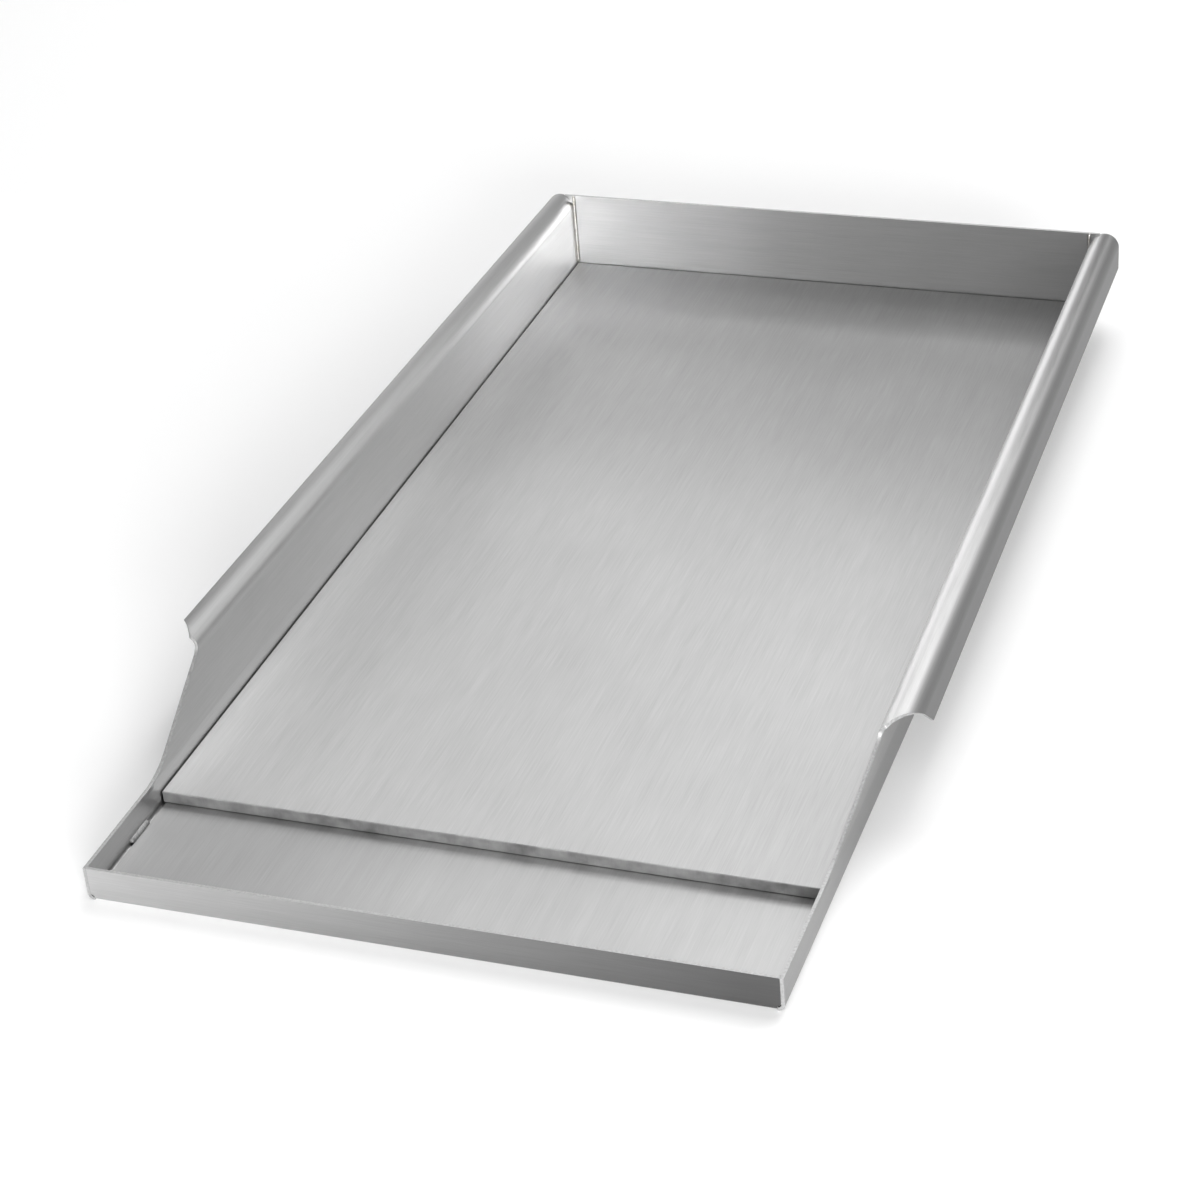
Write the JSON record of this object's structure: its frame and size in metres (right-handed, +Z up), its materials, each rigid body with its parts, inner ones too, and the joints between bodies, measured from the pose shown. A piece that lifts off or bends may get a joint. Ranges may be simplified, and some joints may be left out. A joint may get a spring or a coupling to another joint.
{
  "type": "flat top griddle",
  "caption": "Add-on flat top griddle: a thick steel cooking plate in a welded sheet steel tray with rolled side rims, a tall back wall and a shallow grease trough at the open front.",
  "frame": {"origin": "on the ground, under the middle of the tray's bounding box", "axes": "+X to the right, +Y from the grease trough towards the back wall, +Z up"},
  "size_m": [0.331, 0.598, 0.049],
  "materials": {
    "plate": "ground and brushed along its length",
    "sheet": "brushed",
    "weld": "as welded"
  },
  "bodies": {
    "root": {"griddle_plate": "plate", "tray_floor": "sheet", "left_side_wall": "sheet", "right_side_wall": "sheet", "front_wall": "sheet", "back_wall": "sheet", "front_left_corner_weld": "weld", "front_right_corner_weld": "weld", "back_left_corner_weld": "weld", "back_right_corner_weld": "weld", "left_trough_weld": "weld", "right_trough_weld": "weld", "left_flange_welds": "weld", "right_flange_welds": "weld", "front_flange_welds": "weld", "back_flange_welds": "weld", "plate_plug_welds": "weld"}
  },
  "joints": []
}
